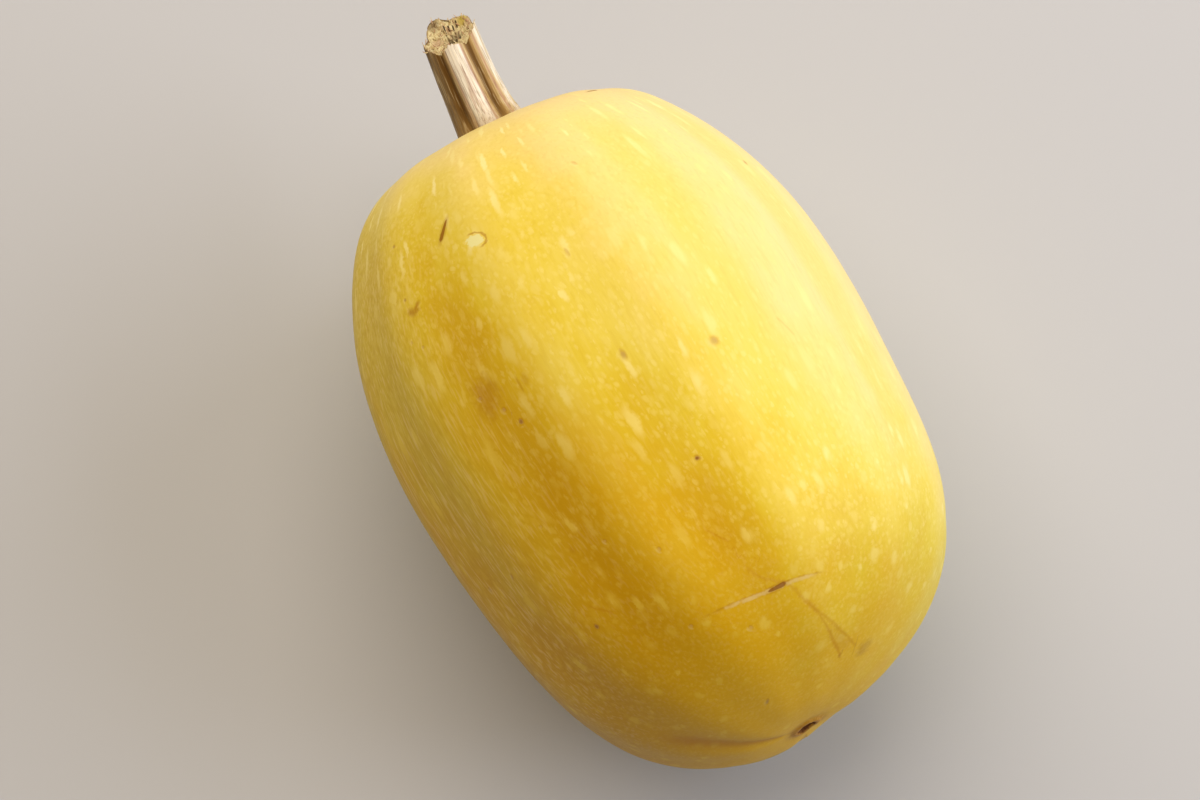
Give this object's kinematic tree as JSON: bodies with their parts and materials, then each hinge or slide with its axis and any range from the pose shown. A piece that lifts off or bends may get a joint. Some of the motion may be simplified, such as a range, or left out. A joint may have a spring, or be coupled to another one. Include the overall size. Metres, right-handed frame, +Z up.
{
  "type": "spaghetti squash",
  "caption": "Whole spaghetti squash lying on its side: an oblong, faintly ribbed yellow fruit with its dry, ridged, cut stem.",
  "frame": {"origin": "on the floor, under the middle of the whole squash's box", "axes": "+Z up, +Y along the fruit towards its stem, -Y towards its blossom end"},
  "size_m": [0.1372, 0.2274, 0.1352],
  "materials": {
    "rind": "satin, waxy",
    "stalk": "dry, fibrous"
  },
  "bodies": {
    "root": {"fruit": "rind", "stem": "stalk"}
  },
  "joints": []
}
